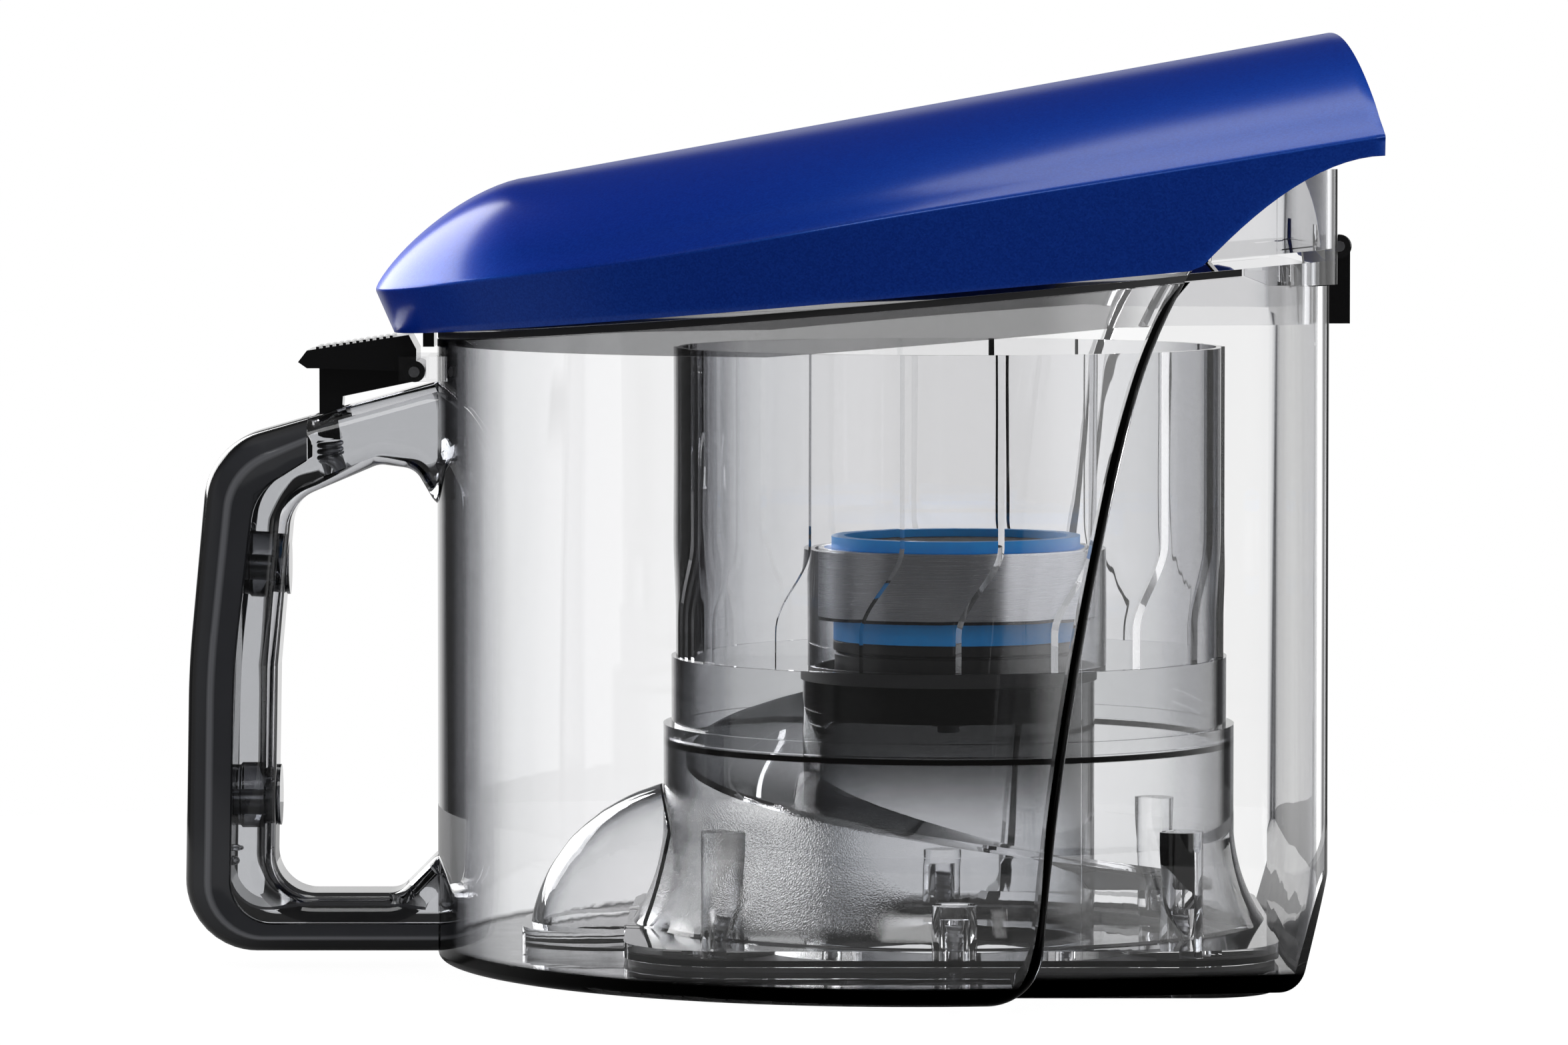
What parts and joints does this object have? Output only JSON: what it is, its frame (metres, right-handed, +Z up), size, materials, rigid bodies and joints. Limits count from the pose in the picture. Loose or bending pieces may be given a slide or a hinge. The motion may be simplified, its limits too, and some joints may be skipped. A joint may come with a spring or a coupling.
{
  "type": "vacuum cleaner dust bin",
  "caption": "Clear cyclone dust bin with a carrying handle, a metal turbine on its outlet pipe, a release lever and a hinged blue lid.",
  "frame": {"origin": "on the bench, under the middle of the whole part", "axes": "+X from the handle to the hinge, +Y to the left, +Z up"},
  "size_m": [0.2625, 0.216, 0.2099],
  "materials": {
    "clear_plastic": "clear moulded, polished",
    "cyclone_plastic": "clear moulded, polished",
    "smoky_plastic": "smoke-tinted, moulded",
    "handle_plastic": "dark smoke, polished",
    "black_plastic": "black, polished",
    "seal_rubber": "moulded rubber",
    "fastener_steel": "zinc plated",
    "drum_steel": "brushed round its axis",
    "blue_paint": "metallic blue lacquer",
    "blue_plastic": "moulded",
    "mesh_cloth": "fine woven mesh"
  },
  "bodies": {
    "container": {"container_body": "clear_plastic", "lever_bracket": "clear_plastic", "lever_pin": "fastener_steel", "handle_grip": "clear_plastic", "handle_cover": "handle_plastic", "handle_screws": "fastener_steel", "lever_spring": "fastener_steel", "cyclone_base": "cyclone_plastic", "base_gasket": "seal_rubber", "base_screws": "fastener_steel", "foot_plate": "clear_plastic", "outlet_seal": "seal_rubber", "inlet_seal": "seal_rubber", "inlet_dome": "cyclone_plastic", "cyclone_lower_tube": "smoky_plastic", "cyclone_tube": "cyclone_plastic", "helical_ramp": "cyclone_plastic", "outlet_pipe": "smoky_plastic", "pipe_seal": "seal_rubber", "turbine_housing": "smoky_plastic", "lower_bearing": "fastener_steel", "upper_bearing": "fastener_steel", "bearing_spider": "black_plastic", "hinge_brackets": "black_plastic", "hinge_pins": "fastener_steel"},
    "lid": {"lid_body": "clear_plastic", "lid_gasket": "seal_rubber", "lid_catch": "black_plastic", "lid_cover": "blue_paint"},
    "lever": {"release_lever": "black_plastic"},
    "turbine": {"turbine_drum": "drum_steel", "turbine_band": "blue_plastic", "turbine_rotor": "black_plastic", "turbine_cap_ring": "blue_plastic", "mesh_filter": "mesh_cloth", "turbine_shaft": "fastener_steel", "shaft_clip": "fastener_steel"}
  },
  "joints": [
    {"name": "lid_hinge", "type": "hinge", "parent": "container", "child": "lid", "pos_m": [0.1252, 0, 0.163], "axis": [0, 1, 0], "range_deg": [0, 95]},
    {"name": "lever_rock", "type": "hinge", "parent": "container", "child": "lever", "pos_m": [-0.0789, 0, 0.1342], "axis": [0, -1, 0], "range_deg": [0, 6], "stiffness_Nm_per_rad": 0.15, "springref_deg": -2.86, "deforming": ["lever_spring"]},
    {"name": "turbine_spin", "type": "hinge", "parent": "container", "child": "turbine", "pos_m": [0.0408, 0, 0.08], "axis": [0, 0, 1], "continuous": true}
  ]
}
